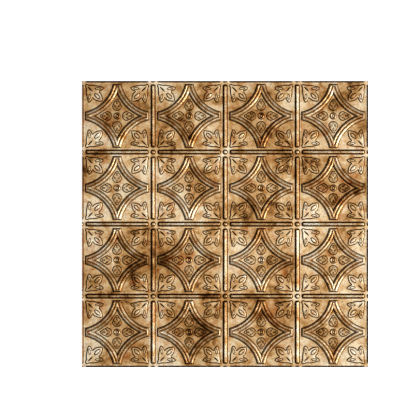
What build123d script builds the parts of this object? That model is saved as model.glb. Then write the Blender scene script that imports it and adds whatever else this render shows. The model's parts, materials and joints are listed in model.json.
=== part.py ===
"""Pressed vinyl ceiling panel: one thin sheet, formed over a die into a grid of star fields."""

import os
from math import radians, sqrt, tan

from build123d import *

# Driving dimensions, in millimetres. The sheet lies flat, face up, on the plane Z = 0.
panel_size = 603.25  # a lay-in panel for a 2 ft ceiling grid
sheet_thickness = 0.8
fields_per_side = 4
field_pitch = 152.0  # from bead to bead
draft_angle = 40.0  # of every formed wall, from the vertical

# Beads that divide the fields, and the studs where they cross
bead_width = 10.0
bead_height = 3.2
bead_setback = 9.6  # from the middle of a crossing to a bead's end
bead_end_chamfer = 3.0
stud_diameter = 10.4
stud_height = 3.2
stud_sides = 8

# Star frame: four arcs struck from points on the field's diagonals
star_reach = 66.0
star_tip_width = 15.6
star_waist = 40.5  # from the field's centre to the outer arc, along the diagonal
star_band_width = 13.0
star_height = 4.0
hollow_sides = 20  # flats to the full turn of an arc on the softer back of the sheet

# Corner leaf: places along and across the field's diagonal, from the field's centre
leaf_tip = 44.5
leaf_cheek = (51.3, 6.7)
leaf_lobe_end = (70.4, 8.9)  # where the middle lobe runs out between the side lobes
leaf_side_tip = (63.3, 20.9)
leaf_shoulder = (82.0, 11.3)
leaf_stem = 93.3
leaf_height = 2.8

# Buds round the field's centre, and the boss between them
bud_distance = 21.5  # from the field's centre to the bud's widest place
bud_root = 10.4  # from the widest place to the root
bud_width = 20.0
bud_neck = (7.5, 7.0)
bud_tip = 14.2
bud_height = 1.6
boss_diameter = 14.8
boss_height = 2.4
boss_sides = 8

# Sizes worked out from the driving dimensions
tip_half = star_tip_width / 2
waist = star_waist / sqrt(2)
arc_centre = (star_reach**2 + tip_half**2 - 2 * waist**2) / (2 * (star_reach + tip_half - 2 * waist))
outer_radius = (arc_centre - waist) * sqrt(2)
inner_radius = outer_radius + star_band_width
star_lean = star_height * tan(radians(draft_angle))  # how far a star wall leans in on its way up
bead_length = field_pitch - 2 * bead_setback
upright = (Align.CENTER, Align.CENTER, Align.MIN)
arc_centres = GridLocations(2 * arc_centre, 2 * arc_centre, 2, 2)
fields = GridLocations(field_pitch, field_pitch, fields_per_side, fields_per_side)
rungs = GridLocations(field_pitch, field_pitch, fields_per_side, fields_per_side + 1)
stiles = GridLocations(field_pitch, field_pitch, fields_per_side + 1, fields_per_side)
crossings = GridLocations(field_pitch, field_pitch, fields_per_side + 1, fields_per_side + 1)


def pressed(height, *half_outline):
    """A raised form with leaning walls, from the half of its plan on the right of the X axis."""
    other_half = [(x, -y) for x, y in reversed(half_outline) if y != 0]
    with BuildPart() as form:
        with BuildSketch():
            with BuildLine():
                Polyline(*other_half, *half_outline, close=True)
            make_face()
        extrude(amount=height, taper=draft_angle)
    return form.part


def stub(diameter, height, sides):
    """A small many-sided boss with leaning walls."""
    with BuildPart() as form:
        with BuildSketch():
            RegularPolygon(diameter / 2, sides)
        extrude(amount=height, taper=draft_angle)
    return form.part


def flatted_wall(radius, upside_down):
    """The round space beside one arc of the star, with flats in place of the arc."""
    with BuildPart() as wall:
        with BuildSketch():
            RegularPolygon(radius, hollow_sides, major_radius=not upside_down)
        extrude(amount=star_height, taper=draft_angle)
    return Location((0, 0, star_height), (180, 0, 0)) * wall.part if upside_down else wall.part


def star_form(outer_wall, inner_wall):
    """A raised star frame: a sloping square, cut by four outer walls, less the field inside."""
    with BuildPart() as field_inside:
        Box(2 * arc_centre, 2 * arc_centre, star_height, align=upright)
        with arc_centres:
            add(inner_wall, mode=Mode.SUBTRACT)
    with BuildPart() as star:
        with BuildSketch():
            Rectangle(2 * star_reach, 2 * star_reach)
        extrude(amount=star_height, taper=draft_angle)
        with arc_centres:
            add(outer_wall, mode=Mode.SUBTRACT)
        add(field_inside.solids().sort_by(SortBy.DISTANCE)[0], mode=Mode.SUBTRACT)
    return star.part


# Ornaments as they stand on the face of the sheet
star_face = star_form(
    Cone(outer_radius, outer_radius + star_lean, star_height, align=upright),
    Cone(inner_radius, inner_radius - star_lean, star_height, align=upright),
)
leaf_face = pressed(leaf_height, leaf_lobe_end, leaf_cheek, (leaf_tip, 0)) + pressed(
    leaf_height, (leaf_stem, 0), leaf_shoulder, leaf_side_tip
)
bud_face = pressed(
    bud_height,
    (bud_distance + bud_tip, 0),
    (bud_distance + bud_neck[0], bud_neck[1]),
    (bud_distance, bud_width / 2),
    (bud_distance - bud_root, 0),
)
bead_face = pressed(
    bead_height,
    (bead_length / 2, bead_width / 2 - bead_end_chamfer),
    (bead_length / 2 - bead_end_chamfer, bead_width / 2),
    (bead_end_chamfer - bead_length / 2, bead_width / 2),
    (-bead_length / 2, bead_width / 2 - bead_end_chamfer),
)
boss_face = stub(boss_diameter, boss_height, boss_sides)
stud_face = stub(stud_diameter, stud_height, stud_sides)

# The hollows behind them, softer in outline
star_back = star_form(
    flatted_wall(outer_radius + star_lean, upside_down=True),
    flatted_wall(inner_radius, upside_down=False),
)
leaf_back = pressed(leaf_height, leaf_lobe_end, (leaf_tip, 0)) + pressed(
    leaf_height, (leaf_stem, 0), leaf_side_tip
)
bead_back = pressed(
    bead_height,
    (bead_length / 2 - bead_end_chamfer, bead_width / 2),
    (bead_end_chamfer - bead_length / 2, bead_width / 2),
)

# Where each ornament stands, and the hollow behind it
lift = Location((0, 0, sheet_thickness))
across = Rotation(0, 0, 90)
leaves = [place * turn for place in fields for turn in PolarLocations(0, 4, start_angle=45)]
buds = [place * turn for place in fields for turn in PolarLocations(0, 4)]
beads = list(rungs) + [place * across for place in stiles]
stands = (
    (star_face, star_back, fields),
    (leaf_face, leaf_back, leaves),
    (bead_face, bead_back, beads),
    (bud_face, None, buds),
    (boss_face, None, fields),
    (stud_face, None, crossings),
)

# The sheet, raised into the ornaments from below and trimmed to the panel's outline
with BuildPart() as panel:
    with BuildSketch() as panel_plan:
        Rectangle(panel_size, panel_size)
    extrude(amount=sheet_thickness)
    add([place * lift * face for face, back, places in stands for place in places])
    add([place * back for face, back, places in stands if back for place in places], mode=Mode.SUBTRACT)
    extrude(panel_plan.sketch, amount=sheet_thickness + star_height, mode=Mode.INTERSECT)

panel.part.label = "pressed_panel"
os.makedirs("parts", exist_ok=True)
export_step(panel.part, "parts/pressed_panel.step")
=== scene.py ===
"""Looks of the pressed vinyl panel: its embossed sheet, antique bronze foil, and a plain studio."""

from __future__ import annotations

import json
import logging
import math
from dataclasses import dataclass, field, replace
from enum import Enum
from typing import Iterable, Sequence

import bmesh
import bpy
from bmesh.types import BMesh, BMFace, BMVert
from mathutils import Matrix, Vector

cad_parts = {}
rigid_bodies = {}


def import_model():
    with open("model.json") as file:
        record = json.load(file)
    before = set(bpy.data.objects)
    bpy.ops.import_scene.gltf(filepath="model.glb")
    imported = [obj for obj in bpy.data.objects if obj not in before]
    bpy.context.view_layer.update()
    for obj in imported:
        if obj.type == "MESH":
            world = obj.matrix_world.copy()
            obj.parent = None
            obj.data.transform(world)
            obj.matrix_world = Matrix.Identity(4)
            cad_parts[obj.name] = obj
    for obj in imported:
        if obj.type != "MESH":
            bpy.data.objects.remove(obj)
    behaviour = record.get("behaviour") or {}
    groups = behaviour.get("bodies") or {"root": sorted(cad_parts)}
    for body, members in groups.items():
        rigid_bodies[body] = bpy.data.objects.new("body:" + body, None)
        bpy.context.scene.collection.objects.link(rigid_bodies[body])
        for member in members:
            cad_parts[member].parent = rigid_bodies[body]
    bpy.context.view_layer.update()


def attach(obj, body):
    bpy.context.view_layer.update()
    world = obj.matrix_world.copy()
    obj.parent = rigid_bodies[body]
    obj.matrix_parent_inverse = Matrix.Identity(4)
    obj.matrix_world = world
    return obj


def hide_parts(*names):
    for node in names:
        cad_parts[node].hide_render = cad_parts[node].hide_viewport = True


Rgb = tuple[int, int, int]
Tone = tuple[float, Rgb]
Socket = bpy.types.NodeSocket

LOG = logging.getLogger("panel_looks")
MM = 0.001
QUARTERS = 4
PATINA_AND_SHADE = "patina_and_shade"
FOIL = "foil"
# Painted shade on the ground next to a form, from 0 to 1
HALO_SHADE = 0.15
# Edges this close to a height, in mm, lie at it
LEVEL_TOLERANCE = 1e-4


class Skin(Enum):
    """The two surfaces of the sheet."""

    FACE = "face"
    BACK = "back"


@dataclass(frozen=True)
class Step:
    """One step of an embossed section, from the outline inwards.

    Attributes:
        inset: how far the section moves inwards, in mm.
        rise: how far it moves upwards, in mm.
        patina_and_shade: how much dark glaze and painted crease shade it gets, from 0 to 1.
    """

    inset: float
    rise: float
    patina_and_shade: float


def smooth_outline(corners: Sequence[tuple[float, float]], spans: int) -> list[Vector]:
    """Rounds a closed outline by a curve through its corners.

    Args:
        corners: the outline's corners, anticlockwise, in mm.
        spans: how many points are made for each corner.

    Returns:
        The rounded outline's points.
    """
    points = [Vector((x, y, 0.0)) for x, y in corners]
    count = len(points)
    outline: list[Vector] = []
    for i in range(count):
        a, b, c, d = (points[(i + k) % count] for k in (-1, 0, 1, 2))
        for s in range(spans):
            t = s / spans
            swing = (c - a) * t + (2 * a - 5 * b + 4 * c - d) * t**2 + (3 * b - a - 3 * c + d) * t**3
            outline.append(b + swing / 2)
    return outline


def grown(outline: Sequence[Vector], amount: float) -> list[Vector]:
    """Moves an outline outwards.

    Args:
        outline: its points, anticlockwise.
        amount: how far, in mm.

    Returns:
        The wider outline.
    """
    wider = []
    for i, point in enumerate(outline):
        along = outline[(i + 1) % len(outline)] - outline[i - 1]
        wider.append(point + Vector((along.y, -along.x, 0.0)).normalized() * amount)
    return wider


def mirrored(half: Sequence[tuple[float, float]]) -> list[tuple[float, float]]:
    """Completes an outline that is alike on both sides of the X axis.

    Args:
        half: the corners on the positive side, anticlockwise, with both ends on the axis.

    Returns:
        The whole outline.
    """
    return list(half) + [(x, -y) for x, y in reversed(half[1:-1])]


def circle(radius: float, count: int) -> list[Vector]:
    """Makes the points of a circle.

    Args:
        radius: in mm.
        count: how many points.

    Returns:
        The points, anticlockwise.
    """
    turns = (math.tau * i / count for i in range(count))
    return [Vector((radius * math.cos(a), radius * math.sin(a), 0.0)) for a in turns]


def rectangle(length: float, width: float) -> list[Vector]:
    """Makes a rectangle about the origin.

    Args:
        length: along X, in mm.
        width: along Y, in mm.

    Returns:
        Its corners, anticlockwise.
    """
    signs = ((-1, -1), (1, -1), (1, 1), (-1, 1))
    return [Vector((sx * length / 2, sy * width / 2, 0.0)) for sx, sy in signs]


@dataclass(frozen=True)
class Almond:
    """A pointed oval.

    Attributes:
        middle: its middle, in mm.
        half_length: from the middle to a point, in mm.
        half_width: from the middle to a side, in mm.
        angle: of its long axis, in degrees.
        points: how many points its outline has.
        taper: how much slimmer than an ellipse it is towards its ends.
    """

    middle: tuple[float, float]
    half_length: float
    half_width: float
    angle: float = 0.0
    points: int = 10
    taper: float = 0.3

    def outline(self) -> list[Vector]:
        """Makes its outline.

        Returns:
            The outline's points, anticlockwise.
        """
        place = Matrix.Translation((*self.middle, 0.0)) @ Matrix.Rotation(math.radians(self.angle), 4, "Z")
        turns = [math.tau * i / self.points for i in range(self.points)]
        outline = []
        for turn in turns:
            across = self.half_width * math.sin(turn) * abs(math.sin(turn)) ** self.taper
            outline.append(place @ Vector((self.half_length * math.cos(turn), across, 0.0)))
        return outline

    def flipped(self) -> Almond:
        """Gives its mirror image on the other side of the X axis.

        Returns:
            The mirror image.
        """
        x, y = self.middle
        return replace(self, middle=(x, -y), angle=-self.angle)


class Relief:
    """A patch of embossed surface in mm, with a value on each vertex for its dark glaze and painted crease
    shade.
    """

    def __init__(self) -> None:
        self.bm: BMesh = bmesh.new()
        self.patina_and_shade = self.bm.verts.layers.float.new(PATINA_AND_SHADE)

    def loop(self, points: Iterable[Vector], height: float, patina_and_shade: float = 0.0) -> list[BMVert]:
        """Adds a closed loop of edges.

        Args:
            points: its places in plan.
            height: its height.
            patina_and_shade: its dark glaze and painted crease shade.

        Returns:
            The loop's vertices, in order.
        """
        verts = [self.bm.verts.new((p.x, p.y, height)) for p in points]
        for i, vert in enumerate(verts):
            vert[self.patina_and_shade] = patina_and_shade
            self.bm.edges.new((verts[i - 1], vert))
        return verts

    def strip(self, outer: Sequence[BMVert], inner: Sequence[BMVert]) -> None:
        """Joins two loops point to point, the outer one with as many vertices or with one more at each tip.

        Args:
            outer: the outer loop.
            inner: the inner loop.
        """
        spare = (len(outer) - len(inner)) // QUARTERS
        run = len(outer) // QUARTERS
        for i in range(len(outer)):
            at = i - spare * (i // run)
            here = inner[at % len(inner)]
            if spare and i % run == 0:
                self.bm.faces.new((outer[i - 1], outer[i], here))
            else:
                self.bm.faces.new((outer[i - 1], outer[i], here, inner[at - 1]))

    def emboss(self, outline: Sequence[Vector], height: float, steps: Sequence[Step]) -> BMFace:
        """Raises a form from an outline, step by step inwards.

        Args:
            outline: the form's outermost line, on the surface around it.
            height: that surface's height.
            steps: the form's section.

        Returns:
            The form's innermost face.
        """
        face = self.bm.faces.new([self.bm.verts.new((p.x, p.y, height)) for p in outline])
        face.normal_update()
        # The ground round the form gets a touch of painted shade.
        for vert in face.verts:
            vert[self.patina_and_shade] = HALO_SHADE
        for step in steps:
            bmesh.ops.inset_region(
                self.bm,
                faces=[face],
                use_boundary=True,
                use_even_offset=False,
                thickness=step.inset,
                depth=step.rise,
            )
            # Each step gets its share of glaze and painted crease shade.
            for vert in face.verts:
                vert[self.patina_and_shade] = step.patina_and_shade
        return face

    def open_up(self, face: BMFace) -> None:
        """Takes out a face and leaves its edges, so that a field with forms in it can be filled.

        Args:
            face: the face to take out.
        """
        bmesh.ops.delete(self.bm, geom=[face], context="FACES_ONLY")

    def fill(self, height: float) -> None:
        """Fills what lies between the open edges at one height.

        Args:
            height: the height of the edges to fill between.
        """
        level = [e for e in self.bm.edges if len(e.link_faces) < 2]
        level = [e for e in level if all(abs(v.co.z - height) < LEVEL_TOLERANCE for v in e.verts)]
        bmesh.ops.triangle_fill(self.bm, use_beauty=True, edges=level, normal=(0, 0, 1))

    def stamp(self, other: Relief, places: Iterable[Matrix]) -> None:
        """Adds copies of another patch.

        Args:
            other: the patch to copy.
            places: where the copies go.
        """
        mesh = bpy.data.meshes.new("stamp")
        other.bm.to_mesh(mesh)
        for place in places:
            copy = mesh.copy()
            copy.transform(place)
            self.bm.from_mesh(copy)
            bpy.data.meshes.remove(copy)
        bpy.data.meshes.remove(mesh)


@dataclass
class Bead:
    """The rounded bead between two fields, in its strip of ground."""

    length: float = 132.8
    width: float = 10.0
    end_radius: float = 3.6
    flange: float = 0.9
    corner_points: int = 5
    section: tuple[Step, ...] = (
        Step(0.9, 0.0, 0.9),
        Step(1.2, 1.2, 0.9),
        Step(1.2, 1.2, 0.6),
        Step(0.9, 0.6, 0.0),
        Step(0.9, 0.2, 0.0),
    )

    def press(self, strip_length: float, strip_width: float) -> Relief:
        """Builds the bead in its strip.

        Args:
            strip_length: the strip's length, in mm.
            strip_width: the strip's width, in mm.

        Returns:
            The strip.
        """
        relief = Relief()
        radius = self.end_radius + self.flange
        reach = Vector((self.length / 2 + self.flange - radius, self.width / 2 + self.flange - radius, 0.0))
        outline = []
        for quarter, (sx, sy) in enumerate(((1, 1), (-1, 1), (-1, -1), (1, -1))):
            for i in range(self.corner_points):
                turn = math.pi / 2 * (quarter + i / (self.corner_points - 1))
                swing = Vector((math.cos(turn), math.sin(turn), 0.0)) * radius
                outline.append(Vector((sx * reach.x, sy * reach.y, 0.0)) + swing)
        relief.emboss(outline, 0.0, self.section)
        relief.loop(rectangle(strip_length, strip_width), 0.0)
        relief.fill(0.0)
        return relief


@dataclass
class Stud:
    """The round stud where beads cross, in its square of ground."""

    radius: float = 5.2
    flange: float = 0.7
    points: int = 16
    section: tuple[Step, ...] = (
        Step(0.7, 0.0, 1.0),
        Step(1.2, 1.2, 0.8),
        Step(1.1, 1.0, 0.1),
        Step(1.6, 0.5, 0.0),
    )

    def press(self, square: float) -> Relief:
        """Builds the stud in its square.

        Args:
            square: the square's side, in mm.

        Returns:
            The square.
        """
        relief = Relief()
        relief.emboss(circle(self.radius + self.flange, self.points), 0.0, self.section)
        relief.loop(rectangle(square, square), 0.0)
        relief.fill(0.0)
        return relief


@dataclass
class Star:
    """The four-pointed frame of a field: a moulded band between arcs.

    Attributes:
        reach: from the middle to a flat tip, in mm.
        tip_width: the width of a flat tip, in mm.
        waist: from the middle to the outer arc's middle, in mm.
        arc_points: how many parts each arc has.
        end_slope: the inset up to which a tip moves in as far as the sides do, in mm.
        end_depth: how far a tip moves in for each mm of inset past that.
        last_flat: the inset past which a line ends in points, in mm.
        section: the band's section, with each step's inset and rise counted from the band's edge.
        back_steps: the steps that the back has.
    """

    reach: float = 66.0
    tip_width: float = 15.6
    waist: float = 40.5
    arc_points: int = 14
    end_slope: float = 1.8
    end_depth: float = 0.4
    last_flat: float = 8.0
    section: tuple[Step, ...] = (
        Step(-2.2, 0.0, HALO_SHADE),
        Step(-1.5, 0.0, 0.8),
        Step(-0.3, 1.2, 0.6),
        Step(0.8, 2.4, 0.1),
        Step(1.7, 3.5, 0.0),
        Step(2.5, 3.9, 0.0),
        Step(3.9, 4.0, 0.0),
        Step(4.8, 3.3, 0.15),
        Step(5.5, 2.6, 0.6),
        Step(7.1, 2.6, 0.6),
        Step(7.8, 3.3, 0.15),
        Step(8.7, 4.0, 0.0),
        Step(10.1, 3.9, 0.0),
        Step(10.9, 3.5, 0.0),
        Step(11.8, 2.4, 0.1),
        Step(12.9, 1.2, 0.6),
        Step(14.1, 0.0, 0.8),
        Step(14.8, 0.0, HALO_SHADE),
    )
    back_steps: tuple[int, ...] = (0, 1, 4, 6, 8, 9, 11, 13, 16, 17)

    def __post_init__(self) -> None:
        half = self.tip_width / 2
        near = self.waist / math.sqrt(2)
        self.centre: float = (self.reach**2 + half**2 - 2 * near**2) / (2 * (self.reach + half - 2 * near))
        self.radius: float = (self.centre - near) * math.sqrt(2)

    def line(self, inset: float) -> list[Vector]:
        """Makes one closed line of the band.

        Args:
            inset: the line's distance inside the band's outer edge, in mm.

        Returns:
            The line's points, anticlockwise. The outer lines end at a flat tip, with one point more.
        """
        radius = self.radius + inset
        pointed = inset > self.last_flat
        if pointed:
            end = self.centre - math.sqrt(radius**2 - self.centre**2)
            side = 0.0
        else:
            end = self.reach - min(inset, self.end_slope)
            end -= self.end_depth * max(inset - self.end_slope, 0.0)
            side = self.centre - math.sqrt(radius**2 - (self.centre - end) ** 2)
        start = math.atan2(side - self.centre, end - self.centre)
        stop = -math.pi / 2 - (start + math.pi)
        points: list[Vector] = []
        for quarter in range(QUARTERS):
            turn = Matrix.Rotation(math.pi / 2 * quarter, 3, "Z")
            for i in range(self.arc_points if pointed else self.arc_points + 1):
                angle = start + (stop - start) * i / self.arc_points
                point = (self.centre + radius * math.cos(angle), self.centre + radius * math.sin(angle), 0.0)
                points.append(turn @ Vector(point))
        return points

    def edge(self, inner: bool) -> list[Vector]:
        """Gives the line where the band meets the ground.

        Args:
            inner: whether it is the line inside the band.

        Returns:
            The line's points.
        """
        return self.line(self.section[-1 if inner else 0].inset)

    def press(self, skin: Skin) -> Relief:
        """Builds the band: two round ridges with a groove between them.

        Args:
            skin: which surface of the sheet it is. The back has fewer steps.

        Returns:
            The band.
        """
        relief = Relief()
        steps = [self.section[i] for i in self.back_steps] if skin is Skin.BACK else self.section
        loops = [relief.loop(self.line(s.inset), s.rise, s.patina_and_shade) for s in steps]
        for outer, inner in zip(loops, loops[1:]):
            relief.strip(outer, inner)
        return relief


@dataclass
class Leaf:
    """The three-lobed leaf in a field's corner, with an eye-shaped vein in each lobe."""

    half_outline: tuple[tuple[float, float], ...] = (
        (93.2, 0.0),
        (91.6, 2.8),
        (86.6, 5.2),
        (81.0, 11.0),
        (75.0, 15.2),
        (68.6, 19.6),
        (62.4, 22.0),
        (61.2, 17.0),
        (63.0, 12.4),
        (65.2, 9.0),
        (60.4, 9.4),
        (54.8, 8.4),
        (49.2, 5.0),
        (44.2, 0.0),
    )
    flange: float = 1.2
    spans: int = 2
    section: tuple[Step, ...] = (
        Step(1.2, 0.0, 1.0),
        Step(0.8, 0.9, 1.0),
        Step(0.7, 0.8, 0.3),
        Step(0.3, 0.2, 0.0),
    )
    plateau: float = 1.9
    petal_section: tuple[Step, ...] = (
        Step(0.7, -0.9, 1.0),
        Step(0.5, 0.1, 0.9),
        Step(0.7, 0.9, 0.0),
        Step(0.8, 0.5, 0.0),
    )
    side_section: tuple[Step, ...] = (
        Step(0.7, -0.8, 1.0),
        Step(0.5, 0.1, 0.8),
        Step(0.6, 0.8, 0.0),
    )
    rib_section: tuple[Step, ...] = (Step(0.5, -0.4, 0.8), Step(0.5, -0.3, 1.0))
    middle_petal: Almond = Almond((59.0, 0.0), 9.0, 4.6)
    side_petal: Almond = Almond((69.6, 12.2), 7.0, 3.1, 128.0)
    rib: Almond = Almond((80.0, 0.0), 8.0, 1.8)

    def press(self, skin: Skin) -> Relief:
        """Builds the leaf along the X axis, pointing at the origin.

        Args:
            skin: which surface of the sheet it is.

        Returns:
            The leaf.
        """
        relief = Relief()
        spans = 1 if skin is Skin.BACK else self.spans
        outline = grown(smooth_outline(mirrored(self.half_outline), spans), self.flange)
        if skin is Skin.BACK:
            relief.emboss(outline, 0.0, self.section[:2])
            return relief
        relief.open_up(relief.emboss(outline, 0.0, self.section))
        relief.emboss(self.middle_petal.outline(), self.plateau, self.petal_section)
        for petal in (self.side_petal, self.side_petal.flipped()):
            relief.emboss(petal.outline(), self.plateau, self.side_section)
        relief.emboss(self.rib.outline(), self.plateau, self.rib_section)
        relief.fill(self.plateau)
        return relief


@dataclass
class Bud:
    """One of the four flower buds round the middle of a field."""

    half_outline: tuple[tuple[float, float], ...] = (
        (36.4, 0.0),
        (34.4, 3.2),
        (31.8, 3.8),
        (30.4, 5.6),
        (27.8, 7.2),
        (25.4, 8.0),
        (20.6, 10.0),
        (15.0, 8.2),
        (11.8, 4.2),
        (10.8, 0.0),
    )
    flange: float = 0.6
    spans: int = 2
    section: tuple[Step, ...] = (
        Step(0.6, 0.0, 1.0),
        Step(0.9, 0.9, 1.0),
        Step(0.9, 0.7, 0.3),
    )
    plateau: float = 1.6
    scale_section: tuple[Step, ...] = (
        Step(0.5, -0.7, 0.9),
        Step(0.5, 0.4, 0.5),
        Step(0.6, 0.9, 0.0),
    )
    tip_scale: Almond = Almond((28.4, 0.0), 4.6, 2.2)
    side_scale: Almond = Almond((21.0, 4.0), 4.0, 2.2, 32.0)
    root_scale: Almond = Almond((15.4, 0.0), 2.6, 2.2, 90.0)

    def press(self, skin: Skin) -> Relief:
        """Builds the bud along the X axis, its root at the origin's side.

        Args:
            skin: which surface of the sheet it is.

        Returns:
            The bud.
        """
        relief = Relief()
        spans = 1 if skin is Skin.BACK else self.spans
        outline = grown(smooth_outline(mirrored(self.half_outline), spans), self.flange)
        if skin is Skin.BACK:
            relief.emboss(outline, 0.0, self.section[:2])
            return relief
        relief.open_up(relief.emboss(outline, 0.0, self.section))
        for scale in (self.tip_scale, self.side_scale, self.side_scale.flipped(), self.root_scale):
            relief.emboss(scale.outline(), self.plateau, self.scale_section)
        relief.fill(self.plateau)
        return relief


@dataclass
class Boss:
    """The dished boss in the middle of a field, with a dot in it."""

    radius: float = 7.4
    flange: float = 0.7
    points: int = 20
    section: tuple[Step, ...] = (
        Step(0.7, 0.0, 0.8),
        Step(1.3, 1.3, 0.5),
        Step(1.0, 0.7, 0.0),
        Step(1.0, -0.4, 0.3),
        Step(1.0, -0.9, 0.9),
        Step(0.7, 0.1, 0.7),
        Step(0.8, 0.8, 0.1),
    )

    def press(self) -> Relief:
        """Builds the boss about the origin.

        Returns:
            The boss.
        """
        relief = Relief()
        relief.emboss(circle(self.radius + self.flange, self.points), 0.0, self.section)
        return relief


@dataclass
class Panel:
    """The whole pressed sheet, trimmed to its outline. Its lengths are in mm and its angle is in degrees."""

    size: float = 603.25
    pitch: float = 152.0
    per_side: int = 4
    thickness: float = 0.8
    strip: float = 12.0
    weld: float = 0.01
    trim_tolerance: float = 0.001
    sharp_angle: float = 32.0
    bead: Bead = field(default_factory=Bead)
    stud: Stud = field(default_factory=Stud)
    star: Star = field(default_factory=Star)
    leaf: Leaf = field(default_factory=Leaf)
    bud: Bud = field(default_factory=Bud)
    boss: Boss = field(default_factory=Boss)

    def grid(self, columns: int, rows: int, turn: float = 0.0) -> list[Matrix]:
        """Lists the places of a grid at the fields' pitch, about the panel's middle.

        Args:
            columns: how many places along X.
            rows: how many places along Y.
            turn: how far each place is turned, in degrees.

        Returns:
            The places.
        """
        spin = Matrix.Rotation(math.radians(turn), 4, "Z")
        places = []
        for i in range(columns):
            for j in range(rows):
                spot = ((i - (columns - 1) / 2) * self.pitch, (j - (rows - 1) / 2) * self.pitch, 0.0)
                places.append(Matrix.Translation(spot) @ spin)
        return places

    def field_relief(self, skin: Skin) -> Relief:
        """Builds one field: star, leaves, buds and boss on their ground.

        Args:
            skin: which surface of the sheet it is.

        Returns:
            The field.
        """
        quarters = [Matrix.Rotation(math.radians(90 * i), 4, "Z") for i in range(QUARTERS)]
        eighth = Matrix.Rotation(math.radians(45), 4, "Z")
        middle = Relief()
        middle.loop(self.star.edge(inner=True), 0.0, HALO_SHADE)
        middle.stamp(self.bud.press(skin), quarters)
        middle.stamp(self.boss.press(), [Matrix.Identity(4)])
        middle.fill(0.0)
        ground = Relief()
        ground.loop(rectangle(self.pitch - self.strip, self.pitch - self.strip), 0.0)
        ground.loop(self.star.edge(inner=False), 0.0, HALO_SHADE)
        ground.stamp(self.leaf.press(skin), [quarter @ eighth for quarter in quarters])
        ground.fill(0.0)
        relief = Relief()
        for patch in (middle, self.star.press(skin), ground):
            relief.stamp(patch, [Matrix.Identity(4)])
        return relief

    def skin_relief(self, skin: Skin) -> Relief:
        """Builds one surface of the sheet and trims it.

        Args:
            skin: which surface of the sheet it is.

        Returns:
            The surface, with its ground at height 0.
        """
        relief = Relief()
        n = self.per_side
        relief.stamp(self.field_relief(skin), self.grid(n, n))
        strip = self.bead.press(self.pitch - self.strip, self.strip)
        relief.stamp(strip, self.grid(n, n + 1) + self.grid(n + 1, n, 90.0))
        relief.stamp(self.stud.press(self.strip), self.grid(n + 1, n + 1))
        bmesh.ops.remove_doubles(relief.bm, verts=relief.bm.verts[:], dist=self.weld)
        for way in (Vector((1, 0, 0)), Vector((-1, 0, 0)), Vector((0, 1, 0)), Vector((0, -1, 0))):
            everything = relief.bm.verts[:] + relief.bm.edges[:] + relief.bm.faces[:]
            bmesh.ops.bisect_plane(
                relief.bm,
                geom=everything,
                dist=self.trim_tolerance,
                plane_co=way * self.size / 2,
                plane_no=way,
                clear_outer=True,
            )
        return relief

    def build(self) -> bpy.types.Object:
        """Joins the two surfaces into the closed sheet.

        Returns:
            The sheet, in metres.
        """
        sheet = Relief()
        lift = Matrix.Translation((0.0, 0.0, self.thickness))
        sheet.stamp(self.skin_relief(Skin.FACE), [lift])
        foil = sheet.bm.verts.layers.float.new(FOIL)
        for vert in sheet.bm.verts:
            vert[foil] = 1.0
        sheet.stamp(self.skin_relief(Skin.BACK), [Matrix.Identity(4)])
        rim = [e for e in sheet.bm.edges if e.is_boundary]
        bmesh.ops.bridge_loops(sheet.bm, edges=rim)
        bmesh.ops.recalc_face_normals(sheet.bm, faces=sheet.bm.faces[:])
        bmesh.ops.scale(sheet.bm, vec=(MM, MM, MM), verts=sheet.bm.verts[:])
        for face in sheet.bm.faces:
            face.smooth = True
        for edge in sheet.bm.edges:
            edge.smooth = edge.calc_face_angle(0.0) < math.radians(self.sharp_angle)
        mesh = bpy.data.meshes.new("embossed_panel")
        sheet.bm.to_mesh(mesh)
        open_edges = sum(1 for e in sheet.bm.edges if not e.is_manifold)
        triangles = sum(len(face.verts) - 2 for face in sheet.bm.faces)
        LOG.info("embossed_panel: %d triangles, %d open edges", triangles, open_edges)
        panel = bpy.data.objects.new("embossed_panel", mesh)
        bpy.context.scene.collection.objects.link(panel)
        return panel


def linear(screen: Rgb) -> tuple[float, float, float, float]:
    """Turns a screen colour into the linear colour that shaders take.

    Args:
        screen: red, green and blue, from 0 to 255.

    Returns:
        The linear colour, opaque.
    """
    parts = [c / 255 for c in screen]
    flat = [c / 12.92 if c < 0.04045 else ((c + 0.055) / 1.055) ** 2.4 for c in parts]
    return (flat[0], flat[1], flat[2], 1.0)


@dataclass(frozen=True)
class Noise:
    """A cloud pattern.

    Attributes:
        scale: clouds to the metre.
        detail: how many finer layers it has.
        rough: how strong those are.
        bend: how far it is twisted.
    """

    scale: float
    detail: float
    rough: float = 0.6
    bend: float = 0.0


@dataclass(frozen=True)
class Ripple:
    """A bump: how strong it is, and how high in mm."""

    strength: float
    height: float


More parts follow.
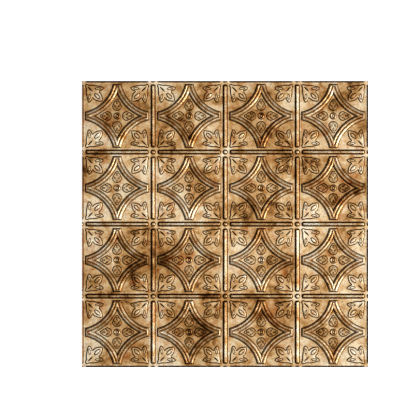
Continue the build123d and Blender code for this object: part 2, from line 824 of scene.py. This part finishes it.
class Graph:
    """Short hand for adding and linking shader nodes."""

    def __init__(self, tree: bpy.types.NodeTree) -> None:
        self.tree = tree

    def add(self, kind: str, **settings: object) -> bpy.types.Node:
        """Adds a node.

        Args:
            kind: the node's type.
            settings: the node's own properties.

        Returns:
            The node.
        """
        node = self.tree.nodes.new(kind)
        for name, value in settings.items():
            setattr(node, name, value)
        return node

    def feed(self, socket: Socket, value: object) -> None:
        """Links a socket, or sets it if the value is a constant.

        Args:
            socket: the socket to feed.
            value: an output socket or a constant.
        """
        if isinstance(value, Socket):
            self.tree.links.new(value, socket)
        else:
            socket.default_value = value

    def math(self, operation: str, *values: object, clamp: bool = False) -> Socket:
        """Adds a sum.

        Args:
            operation: the sum's name.
            values: its inputs, in order.
            clamp: whether the result stays within 0 and 1.

        Returns:
            The result.
        """
        node = self.add("ShaderNodeMath", operation=operation, use_clamp=clamp)
        for socket, value in zip(node.inputs, values):
            self.feed(socket, value)
        return node.outputs[0]

    def noise(self, place: Socket, kind: Noise) -> Socket:
        """Adds a cloud pattern.

        Args:
            place: where it is read.
            kind: its size and character.

        Returns:
            The pattern's value.
        """
        node = self.add("ShaderNodeTexNoise")
        self.feed(node.inputs["Vector"], place)
        node.inputs["Scale"].default_value = kind.scale
        node.inputs["Detail"].default_value = kind.detail
        node.inputs["Roughness"].default_value = kind.rough
        node.inputs["Distortion"].default_value = kind.bend
        return node.outputs["Fac"]

    def ramp(self, value: Socket, tones: Sequence[Tone]) -> Socket:
        """Adds a colour ramp.

        Args:
            value: what drives it.
            tones: places from 0 to 1 and screen colours, in order.

        Returns:
            The colour.
        """
        node = self.add("ShaderNodeValToRGB")
        marks = node.color_ramp.elements
        while len(marks) < len(tones):
            marks.new(0.5)
        for mark, (place, colour) in zip(marks, tones):
            mark.position = place
            mark.color = linear(colour)
        self.feed(node.inputs["Fac"], value)
        return node.outputs["Color"]

    def bump(self, height: Socket, kind: Ripple) -> bpy.types.Node:
        """Adds a bump.

        Args:
            height: the pattern that gives its height.
            kind: its strength and height.

        Returns:
            The node.
        """
        node = self.add("ShaderNodeBump")
        node.inputs["Strength"].default_value = kind.strength
        node.inputs["Distance"].default_value = kind.height * MM
        self.feed(node.inputs["Height"], height)
        return node

    def mix(self, factor: object, a: object, b: object, blend: str = "MIX") -> Socket:
        """Mixes two colours.

        Args:
            factor: how much of the second.
            a: the first colour.
            b: the second colour.
            blend: how they mix.

        Returns:
            The mixed colour.
        """
        node = self.add("ShaderNodeMix", data_type="RGBA", blend_type=blend)
        self.feed(node.inputs["Factor"], factor)
        self.feed(node.inputs["A"], a)
        self.feed(node.inputs["B"], b)
        return node.outputs["Result"]


@dataclass(frozen=True)
class FoilFinish:
    """Antique bronze foil: a mottled tan ground with brown clouds, and a dark glaze in the creases that also
    paints the shade falling there.

    Attributes:
        tones: the ground's colours, over the mixed clouds.
        glaze: what the glaze and painted crease shade leave of the ground's colour, over their amount.
        rust: the rust tint.
        bare: the plain vinyl of the back.
        wide: the broad clouds.
        cloud: the clouds that give the mottling.
        speckle: the fine grain.
        swell: the waves of the pressed sheet.
        rust_spots: the clouds that the rust tint follows.
        wide_share: how much the broad clouds count.
        cloud_share: how much the mottling counts.
        rust_from: the cloud value at which rust begins.
        rust_gain: how fast it grows from there.
        rust_most: how strong it gets.
        grain_gain: how much the grain lightens and darkens.
        grain_shift: what is added to the grain.
        hold_gain: how much more glaze and painted shade stay in the mottling's light parts.
        hold_least: how much stays anywhere.
        metallic: how metallic clean foil is.
        burnish: how much more metallic foil is where it has glaze and painted shade.
        specular: the reflection of its clear top.
        rough_least: the roughness of clean foil.
        rough_cloud: how much the mottling adds.
        rough_glaze_and_shade: how much the glaze and painted shade add.
        wave_bump: the bump of the waves.
        grain_bump: the bump of the grain.
    """

    tones: tuple[Tone, ...] = (
        (0.385, (84, 50, 20)),
        (0.45, (178, 134, 80)),
        (0.515, (220, 188, 142)),
        (0.595, (248, 236, 210)),
    )
    glaze: tuple[Tone, ...] = (
        (0.0, (255, 255, 255)),
        (0.25, (230, 216, 192)),
        (0.55, (160, 126, 84)),
        (1.0, (46, 28, 11)),
    )
    rust: Rgb = (176, 92, 32)
    bare: Rgb = (168, 142, 110)
    wide: Noise = Noise(9.0, 5.0, 0.62, 0.6)
    cloud: Noise = Noise(50.0, 6.0, 0.68, 0.4)
    speckle: Noise = Noise(330.0, 4.0, 0.8)
    swell: Noise = Noise(11.0, 2.0, 0.5)
    rust_spots: Noise = Noise(34.0, 5.0, 0.6, 1.2)
    wide_share: float = 0.55
    cloud_share: float = 0.45
    rust_from: float = 0.52
    rust_gain: float = 4.0
    rust_most: float = 0.65
    grain_gain: float = 2.7
    grain_shift: float = -0.42
    hold_gain: float = 0.8
    hold_least: float = 0.62
    metallic: float = 0.7
    burnish: float = 0.28
    specular: float = 0.08
    rough_least: float = 0.30
    rough_cloud: float = 0.20
    rough_glaze_and_shade: float = 0.15
    wave_bump: Ripple = Ripple(0.5, 2.0)
    grain_bump: Ripple = Ripple(0.25, 0.25)

    def clouds(self) -> bpy.types.NodeTree:
        """Makes the pattern of the foil.

        Returns:
            A group that gives the foil's colour, cloud, speckle and swell.
        """
        group = bpy.data.node_groups.new("foil_clouds", "ShaderNodeTree")
        group.interface.new_socket("Place", in_out="INPUT", socket_type="NodeSocketVector")
        group.interface.new_socket("Colour", in_out="OUTPUT", socket_type="NodeSocketColor")
        for name in ("Cloud", "Speckle", "Swell"):
            group.interface.new_socket(name, in_out="OUTPUT", socket_type="NodeSocketFloat")
        graph = Graph(group)
        place = graph.add("NodeGroupInput").outputs["Place"]
        wide = graph.noise(place, self.wide)
        cloud = graph.noise(place, self.cloud)
        speckle = graph.noise(place, self.speckle)
        swell = graph.noise(place, self.swell)
        mottle = graph.math("MULTIPLY", cloud, self.cloud_share)
        colour = graph.ramp(graph.math("MULTIPLY_ADD", wide, self.wide_share, mottle), self.tones)
        spots = graph.math("SUBTRACT", graph.noise(place, self.rust_spots), self.rust_from, clamp=True)
        rusted = graph.math("MULTIPLY", spots, self.rust_gain, clamp=True)
        colour = graph.mix(graph.math("MULTIPLY", rusted, self.rust_most), colour, linear(self.rust))
        grain = graph.math("MULTIPLY_ADD", speckle, self.grain_gain, self.grain_shift)
        shade = graph.ramp(grain, ((0.0, (0, 0, 0)), (1.0, (255, 255, 255))))
        colour = graph.mix(1.0, colour, shade, "MULTIPLY")
        out = graph.add("NodeGroupOutput")
        for name, value in (("Colour", colour), ("Cloud", cloud), ("Speckle", speckle), ("Swell", swell)):
            graph.feed(out.inputs[name], value)
        return group

    def material(self) -> bpy.types.Material:
        """Makes the foil's material.

        Returns:
            The material.
        """
        made = bpy.data.materials.new("bronze_vinyl")
        made.use_nodes = True
        graph = Graph(made.node_tree)
        shader = made.node_tree.nodes["Principled BSDF"]
        pattern = graph.add("ShaderNodeGroup", node_tree=self.clouds())
        graph.feed(pattern.inputs["Place"], graph.add("ShaderNodeTexCoord").outputs["Object"])
        cloud = pattern.outputs["Cloud"]
        patina_and_shade = graph.add("ShaderNodeAttribute", attribute_name=PATINA_AND_SHADE).outputs["Fac"]
        foil = graph.add("ShaderNodeAttribute", attribute_name=FOIL).outputs["Fac"]
        hold = graph.math("MULTIPLY_ADD", cloud, self.hold_gain, self.hold_least)
        # Dark glaze in the creases: partly the foil's patina, partly painted shade where the relief's own
        # shadow falls.
        glaze_and_shade_mask = graph.math("MULTIPLY", patina_and_shade, hold, clamp=True)
        glazed_and_shaded_colour = graph.mix(1.0, pattern.outputs["Colour"], graph.ramp(glaze_and_shade_mask, self.glaze), "MULTIPLY")
        graph.feed(shader.inputs["Base Color"], graph.mix(foil, linear(self.bare), glazed_and_shaded_colour))
        metal = graph.math("MULTIPLY_ADD", glaze_and_shade_mask, self.burnish, self.metallic)
        graph.feed(shader.inputs["Metallic"], graph.math("MULTIPLY", foil, metal))
        shader.inputs["Specular IOR Level"].default_value = self.specular
        gloss = graph.math("MULTIPLY_ADD", cloud, self.rough_cloud, self.rough_least)
        dull = graph.math("MULTIPLY", glaze_and_shade_mask, self.rough_glaze_and_shade)
        graph.feed(shader.inputs["Roughness"], graph.math("ADD", gloss, dull))
        waves = graph.bump(pattern.outputs["Swell"], self.wave_bump)
        grain = graph.bump(pattern.outputs["Speckle"], self.grain_bump)
        graph.feed(grain.inputs["Normal"], waves.outputs["Normal"])
        graph.feed(shader.inputs["Normal"], grain.outputs["Normal"])
        return made


@dataclass(frozen=True)
class Lamp:
    """One soft box: where it stands, where it points, its size and its power."""

    name: str
    place: tuple[float, float, float]
    target: tuple[float, float, float]
    size: float
    power: float

    def build(self) -> None:
        """Puts the soft box up."""
        lamp = bpy.data.lights.new(self.name, "AREA")
        lamp.shape = "SQUARE"
        lamp.size = self.size
        lamp.energy = self.power
        holder = bpy.data.objects.new(self.name, lamp)
        holder.location = self.place
        holder.rotation_euler = (Vector(self.target) - Vector(self.place)).to_track_quat("-Z", "Y").to_euler()
        bpy.context.scene.collection.objects.link(holder)


@dataclass(frozen=True)
class Studio:
    """A pale floor, soft light from above and from the right, and a camera that looks straight down.

    Attributes:
        middle: the point that the camera looks at, in metres.
        frame_width: how much of the floor the picture shows, in metres.
        camera_height: in metres.
        sensor: the camera's sensor width, in mm.
        floor_size: in metres.
        floor_level: just under the sheet, in metres.
        floor_grey: the floor's own colour.
        floor_glow: what makes it look white to the camera and in reflections.
        sky: the grey of the room around.
        view_reach: how far the camera sees, in metres.
        lamps: the soft boxes.
    """

    middle: tuple[float, float] = (-0.0530, 0.0508)
    frame_width: float = 0.8439
    camera_height: float = 3.0
    sensor: float = 36.0
    floor_size: float = 40.0
    floor_level: float = -0.0004
    floor_grey: float = 0.9
    floor_glow: float = 0.7
    sky: float = 0.02
    view_reach: float = 100.0
    lamps: tuple[Lamp, ...] = (
        Lamp("overhead_box", (0.0, 0.0, 3.4), (0.0, 0.0, 0.0), 2.2, 38.0),
        Lamp("right_box", (2.2, -0.4, 1.0), (0.0, 0.0, 0.0), 1.6, 110.0),
    )

    def floor(self) -> None:
        """Lays the floor, which looks white and keeps the panel's shadow."""
        bm = bmesh.new()
        bmesh.ops.create_grid(bm, x_segments=1, y_segments=1, size=self.floor_size / 2)
        bmesh.ops.translate(bm, vec=(0, 0, self.floor_level), verts=bm.verts[:])
        mesh = bpy.data.meshes.new("floor")
        bm.to_mesh(mesh)
        bm.free()
        floor = bpy.data.objects.new("floor", mesh)
        bpy.context.scene.collection.objects.link(floor)
        made = bpy.data.materials.new("floor_white")
        made.use_nodes = True
        graph = Graph(made.node_tree)
        shader = made.node_tree.nodes["Principled BSDF"]
        shader.inputs["Base Color"].default_value = (self.floor_grey, self.floor_grey, self.floor_grey, 1.0)
        shader.inputs["Roughness"].default_value = 1.0
        shader.inputs["Emission Color"].default_value = (1.0, 1.0, 1.0, 1.0)
        path = graph.add("ShaderNodeLightPath")
        seen = graph.math("MAXIMUM", path.outputs["Is Camera Ray"], path.outputs["Is Glossy Ray"])
        seen = graph.math("MAXIMUM", seen, path.outputs["Is Transmission Ray"])
        graph.feed(shader.inputs["Emission Strength"], graph.math("MULTIPLY", seen, self.floor_glow))
        mesh.materials.append(made)

    def build(self) -> None:
        """Sets up floor, light and camera."""
        scene = bpy.context.scene
        scene.view_settings.view_transform = "Standard"
        self.floor()
        for lamp in self.lamps:
            lamp.build()
        world = bpy.data.worlds.new("studio")
        world.use_nodes = True
        background = world.node_tree.nodes["Background"]
        background.inputs["Color"].default_value = (self.sky, self.sky, self.sky, 1.0)
        scene.world = world
        lens = bpy.data.cameras.new("camera")
        lens.sensor_width = self.sensor
        lens.lens = self.sensor * self.camera_height / self.frame_width
        lens.clip_end = self.view_reach
        camera = bpy.data.objects.new("camera", lens)
        camera.location = (*self.middle, self.camera_height)
        scene.collection.objects.link(camera)
        scene.camera = camera


def main() -> None:
    """Builds and dresses the panel and sets up the studio."""
    logging.basicConfig(level=logging.INFO, format="%(name)s: %(message)s")
    for leftover in list(bpy.data.objects):
        bpy.data.objects.remove(leftover)
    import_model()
    panel = Panel().build()
    panel.data.materials.append(FoilFinish().material())
    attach(panel, "root")
    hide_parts("pressed_panel")
    Studio().build()


if __name__ == "__main__":
    main()
